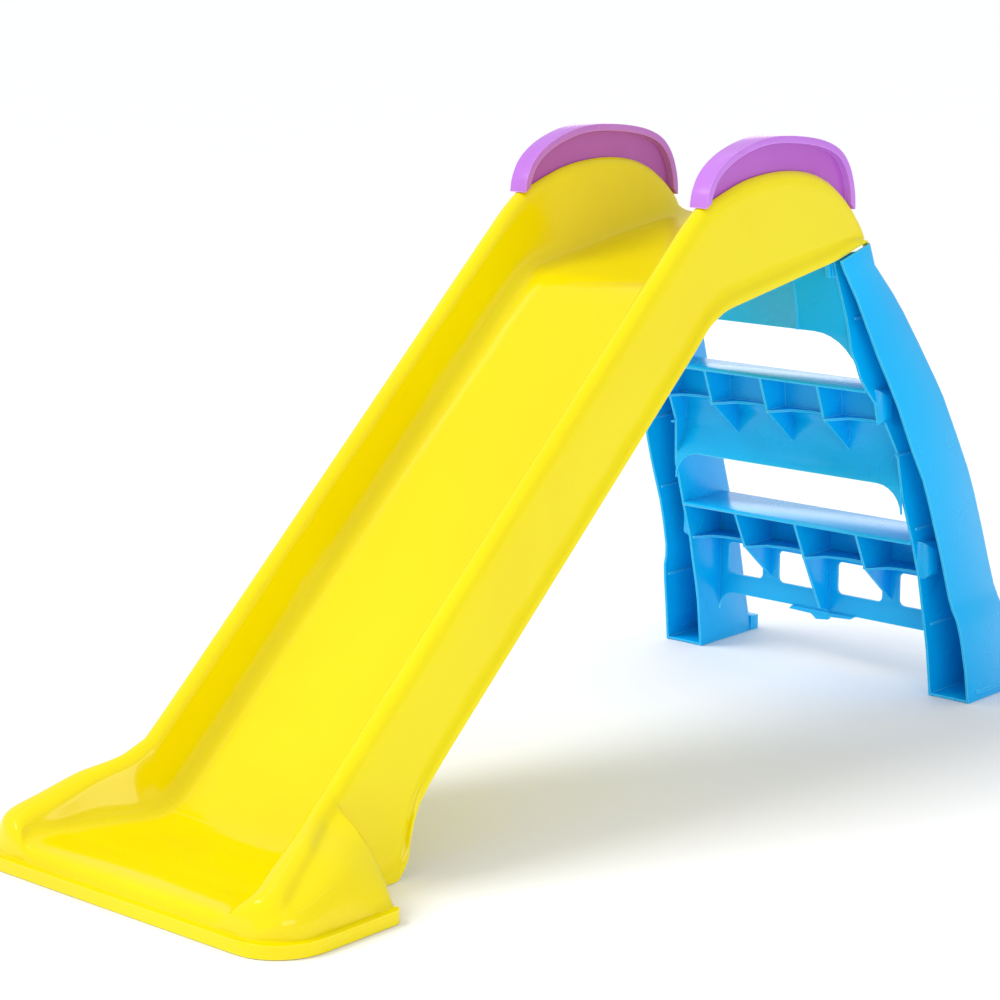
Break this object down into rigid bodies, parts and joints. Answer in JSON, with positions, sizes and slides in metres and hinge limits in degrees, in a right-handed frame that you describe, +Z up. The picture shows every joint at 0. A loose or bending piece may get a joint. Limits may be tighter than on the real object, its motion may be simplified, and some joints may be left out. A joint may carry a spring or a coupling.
{
  "type": "toddler slide",
  "caption": "Free-standing folding toddler slide: moulded chute with a small seat deck, a handrail on each side and a moulded ladder that folds under it.",
  "frame": {"origin": "centre of the footprint's bounding box, on the floor", "axes": "+Z up; -Y the way a child slides, +Y towards the ladder; +X to the child's left when sliding"},
  "size_m": [0.47, 1.287, 0.7007],
  "materials": {
    "yellow_moulding": "moulded polyethylene, satin, fine moulded texture",
    "blue_moulding": "moulded polyethylene, satin",
    "purple_moulding": "moulded polyethylene, satin",
    "washer_steel": "plain plated washer"
  },
  "bodies": {
    "slide": {"slide_body": "yellow_moulding", "handrail_left": "purple_moulding", "handrail_right": "purple_moulding", "pivot_socket_left": "yellow_moulding", "pivot_socket_right": "yellow_moulding", "pivot_pin_left": "blue_moulding", "pivot_pin_right": "blue_moulding", "pin_washer_left": "washer_steel", "pin_washer_right": "washer_steel"},
    "ladder": {"ladder_rail_left": "blue_moulding", "ladder_rail_right": "blue_moulding", "ladder_top_panel": "blue_moulding", "ladder_upper_step": "blue_moulding", "ladder_middle_panel": "blue_moulding", "ladder_lower_step": "blue_moulding", "ladder_lower_panel": "blue_moulding", "ladder_storage_clip": "blue_moulding"}
  },
  "joints": [
    {"name": "ladder_fold", "type": "hinge", "parent": "slide", "child": "ladder", "pos_m": [0, 0.3525, 0.566], "axis": [1, 0, 0], "range_deg": [-75, 0]}
  ]
}
